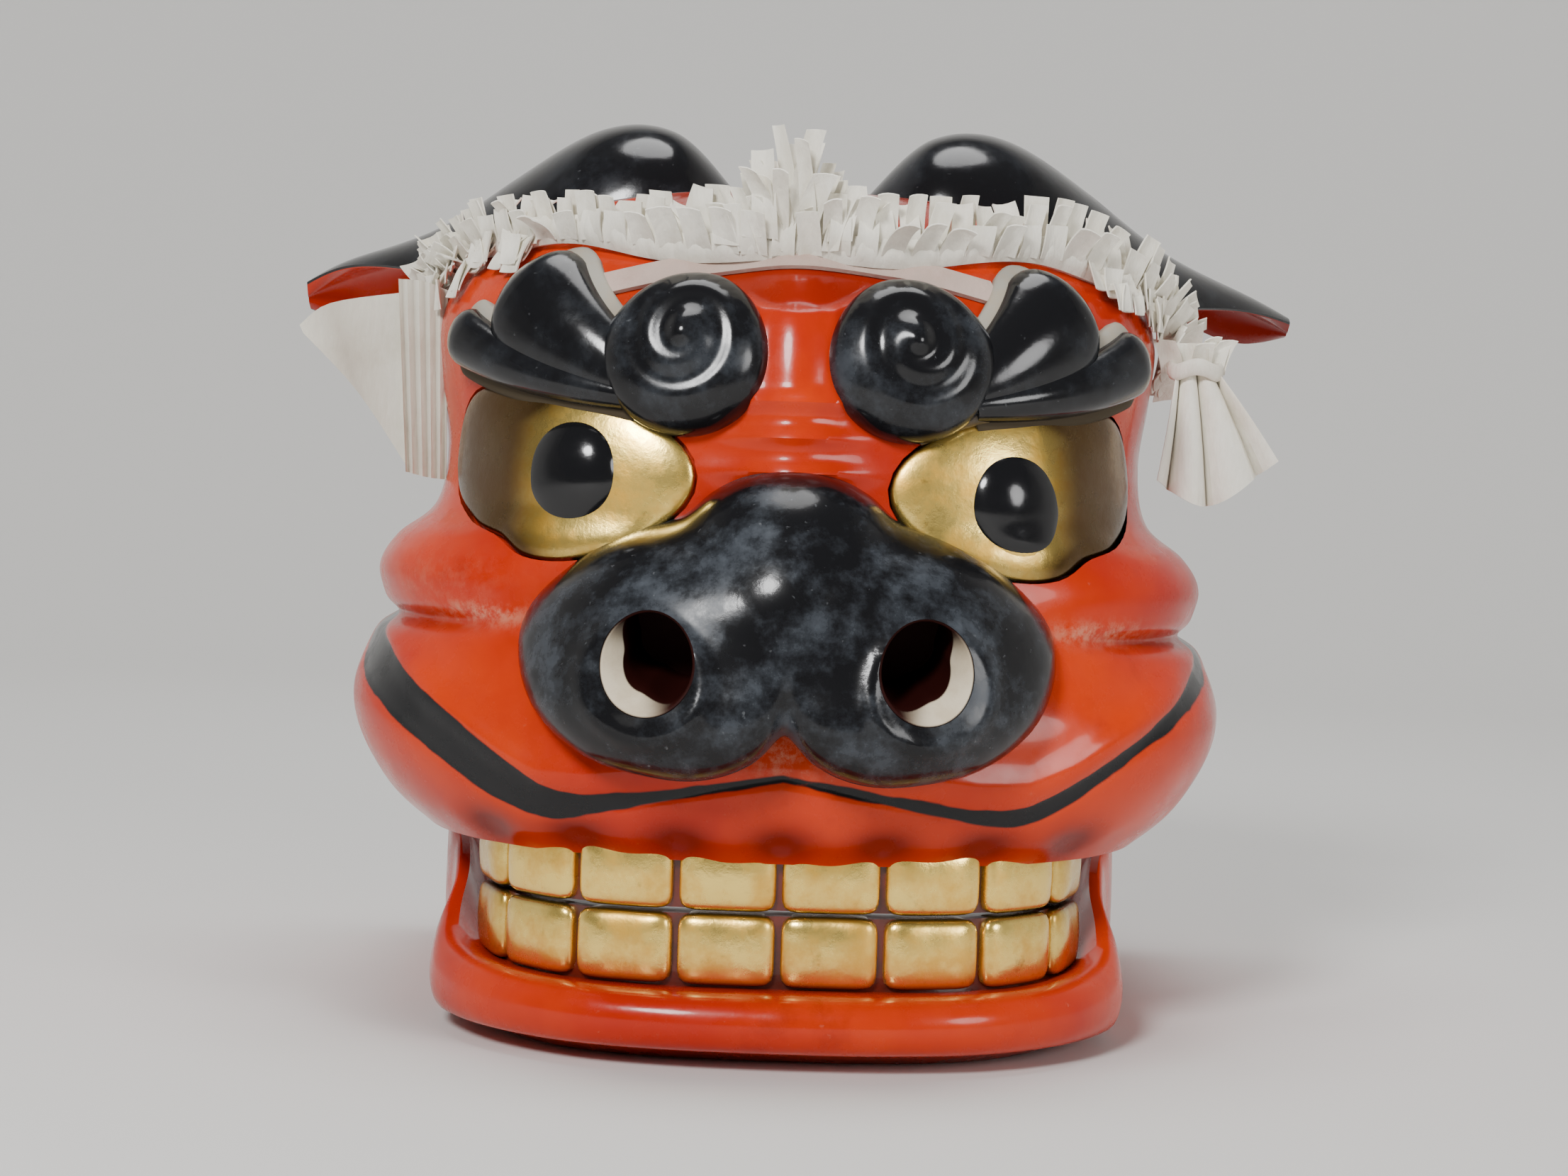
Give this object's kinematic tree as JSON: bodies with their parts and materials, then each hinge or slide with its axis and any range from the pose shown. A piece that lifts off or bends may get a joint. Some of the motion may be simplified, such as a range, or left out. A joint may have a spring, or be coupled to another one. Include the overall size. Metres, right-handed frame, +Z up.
{
  "type": "lion dance mask",
  "caption": "Carved and lacquered lion head with a hinged lower jaw, gilt eyes and teeth, black brows and nose, cupped ears and a cut white paper mane.",
  "frame": {"origin": "on the lower jaw's flat underside, on the centre line, under the widest part of the cheeks", "axes": "+Z up, the face looks along -Y, +X to the right of a viewer who faces it"},
  "size_m": [0.33, 0.2536, 0.2766],
  "materials": {
    "red_lacquer": "glossy vermilion lacquer over carved wood",
    "jaw_lacquer": "glossy vermilion lacquer over carved wood",
    "black_lacquer": "glossy black lacquer over carved wood",
    "bare_wood": "plain turned wood",
    "white_paper": "handmade paper, matt",
    "gold_leaf": "gold leaf on lacquer, for the eyes and teeth carved in the head and jaw"
  },
  "bodies": {
    "jaw": {"lower_jaw": "jaw_lacquer"},
    "head": {"head": "red_lacquer", "jaw_hinge_rod": "bare_wood", "left_ear": "black_lacquer", "right_ear": "black_lacquer", "paper_fringe": "white_paper", "left_paper_hanging": "white_paper", "right_paper_hanging": "white_paper"}
  },
  "joints": [
    {"name": "jaw_hinge", "type": "hinge", "parent": "jaw", "child": "head", "pos_m": [0, 0.078, 0.074], "axis": [-1, 0, 0], "range_deg": [0, 30]}
  ]
}
